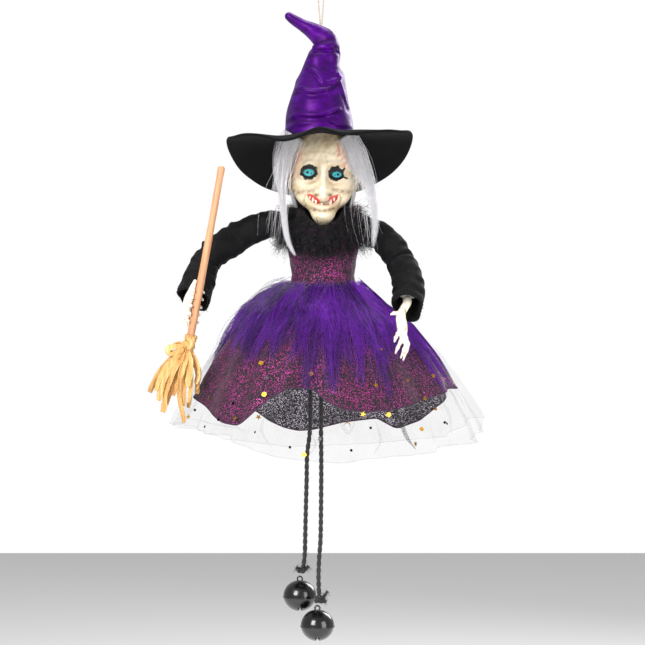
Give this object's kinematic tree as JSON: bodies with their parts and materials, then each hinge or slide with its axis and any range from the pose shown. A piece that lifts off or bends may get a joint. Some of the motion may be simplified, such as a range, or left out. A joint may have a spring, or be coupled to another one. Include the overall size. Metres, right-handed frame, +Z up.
{
  "type": "hanging witch ornament",
  "caption": "Hanging cloth witch ornament with a pointed hat, glitter dress, posable arms, a broom and cord legs that end in jingle bells.",
  "frame": {"origin": "inside top of the hanger loop, where a hook or nail carries it", "axes": "+Z up along the hanging figure, face towards -Y, the witch's right arm and broom towards -X"},
  "size_m": [0.2358, 0.1758, 0.4847],
  "materials": {
    "thread": "matte",
    "purple_velvet": "crushed velvet",
    "white_filling": "matte",
    "black_felt": "matte",
    "cream_plastic": "matte, hand painted",
    "white_hair": "satin fibre",
    "wood": "bare, smooth",
    "glitter_cloth": "woven, with magenta glitter",
    "eyelash_yarn": "shiny fibre",
    "black_elastic": "ribbed",
    "purple_fur": "long pile",
    "tulle": "open net, with foil dots",
    "black_velvet": "velvet",
    "steel_wire": "bare",
    "raffia": "dry fibre",
    "black_cord": "braided",
    "black_bell": "gloss",
    "steel_ball": "bare"
  },
  "bodies": {
    "hanger": {"hanger_loop": "thread", "hanger_knot": "thread"},
    "figure": {"hat_cone": "purple_velvet", "hat_stuffing": "white_filling", "hat_brim": "black_felt", "head": "cream_plastic", "hair_right": "white_hair", "hair_left": "white_hair", "hair_back": "white_hair", "neck_dowel": "wood", "torso_filling": "white_filling", "bodice": "glitter_cloth", "collar_trim": "eyelash_yarn", "waist_band": "black_elastic", "waist_fur": "purple_fur", "skirt": "glitter_cloth", "skirt_tulle": "tulle"},
    "hat_tip": {"hat_tip": "purple_velvet"},
    "right_upper_arm": {"right_upper_sleeve": "black_velvet", "right_upper_stuffing": "white_filling", "right_upper_wire": "steel_wire"},
    "right_forearm": {"right_lower_sleeve": "black_velvet", "right_lower_stuffing": "white_filling", "right_lower_wire": "steel_wire", "right_hand": "cream_plastic"},
    "broom": {"broom_handle": "wood", "broom_bristles": "raffia", "broom_binding": "raffia"},
    "left_upper_arm": {"left_upper_sleeve": "black_velvet", "left_upper_stuffing": "white_filling", "left_upper_wire": "steel_wire"},
    "left_forearm": {"left_lower_sleeve": "black_velvet", "left_lower_stuffing": "white_filling", "left_lower_wire": "steel_wire"},
    "left_hand": {"left_hand": "cream_plastic"},
    "hips": {"hip_knot": "black_cord"},
    "right_thigh": {"right_leg_cord_upper": "black_cord"},
    "right_shin": {"right_leg_cord_lower": "black_cord", "right_ankle_knot": "black_cord"},
    "right_bell": {"right_bell_loop": "black_bell", "right_bell_top": "black_bell", "right_bell_bottom": "black_bell"},
    "right_pellet": {"right_bell_pellet": "steel_ball"},
    "left_thigh": {"left_leg_cord_upper": "black_cord"},
    "left_shin": {"left_leg_cord_lower": "black_cord", "left_ankle_knot": "black_cord"},
    "left_bell": {"left_bell_loop": "black_bell", "left_bell_top": "black_bell", "left_bell_bottom": "black_bell"},
    "left_pellet": {"left_bell_pellet": "steel_ball"}
  },
  "joints": [
    {"name": "figure_spin", "type": "hinge", "parent": "hanger", "child": "figure", "pos_m": [0, 0, -0.0434], "axis": [0, 0, 1], "continuous": true},
    {"name": "hat_tip_bend", "type": "hinge", "parent": "figure", "child": "hat_tip", "pos_m": [-0.011, 0, -0.035], "axis": [0, 1, 0], "range_deg": [-25, 25]},
    {"name": "right_shoulder", "type": "hinge", "parent": "figure", "child": "right_upper_arm", "pos_m": [-0.039, 0, -0.181], "axis": [1, 0, 0], "range_deg": [-60, 0]},
    {"name": "right_elbow", "type": "hinge", "parent": "right_upper_arm", "child": "right_forearm", "pos_m": [-0.083, -0.006, -0.206], "axis": [0, 1, 0], "range_deg": [0, 20]},
    {"name": "broom_slide", "type": "slide", "parent": "right_forearm", "child": "broom", "axis": [0.1786, 0, 0.9839], "range_m": [-0.012, 0.004]},
    {"name": "left_shoulder", "type": "hinge", "parent": "figure", "child": "left_upper_arm", "pos_m": [0.04, 0, -0.1865], "axis": [1, 0, 0], "range_deg": [-70, 0]},
    {"name": "left_elbow", "type": "hinge", "parent": "left_upper_arm", "child": "left_forearm", "pos_m": [0.0585, -0.01, -0.2085], "axis": [0, 1, 0], "range_deg": [-60, 0]},
    {"name": "left_wrist", "type": "hinge", "parent": "left_forearm", "child": "left_hand", "pos_m": [0.0617, -0.039, -0.239], "axis": [-0.1029, -0.4951, -0.8627], "range_deg": [-35, 35]},
    {"name": "legs_swing", "type": "hinge", "parent": "figure", "child": "hips", "pos_m": [-0.004, 0, -0.243], "axis": [1, 0, 0], "range_deg": [-30, 30]},
    {"name": "right_leg_out", "type": "hinge", "parent": "hips", "child": "right_thigh", "pos_m": [-0.008, 0, -0.2486], "axis": [0, 1, 0], "range_deg": [0, 30]},
    {"name": "left_leg_out", "type": "hinge", "parent": "hips", "child": "left_thigh", "pos_m": [0, 0, -0.2486], "axis": [0, -1, 0], "range_deg": [0, 30]},
    {"name": "right_knee", "type": "hinge", "parent": "right_thigh", "child": "right_shin", "pos_m": [-0.0112, 0.003, -0.392], "axis": [1, 0, 0], "range_deg": [0, 40]},
    {"name": "left_knee", "type": "hinge", "parent": "left_thigh", "child": "left_shin", "pos_m": [0, -0.003, -0.392], "axis": [-1, 0, 0], "range_deg": [0, 40]},
    {"name": "right_bell_swing", "type": "hinge", "parent": "right_shin", "child": "right_bell", "pos_m": [-0.0156, 0.0076, -0.44101], "axis": [1, 0, 0], "range_deg": [0, 35]},
    {"name": "left_bell_swing", "type": "hinge", "parent": "left_shin", "child": "left_bell", "pos_m": [-0.0026, -0.0074, -0.46061], "axis": [-1, 0, 0], "range_deg": [0, 35]},
    {"name": "right_pellet_hop", "type": "slide", "parent": "right_bell", "child": "right_pellet", "axis": [0, 0, 1], "range_m": [0, 0.012]},
    {"name": "left_pellet_hop", "type": "slide", "parent": "left_bell", "child": "left_pellet", "axis": [0, 0, 1], "range_m": [0, 0.012]}
  ]
}
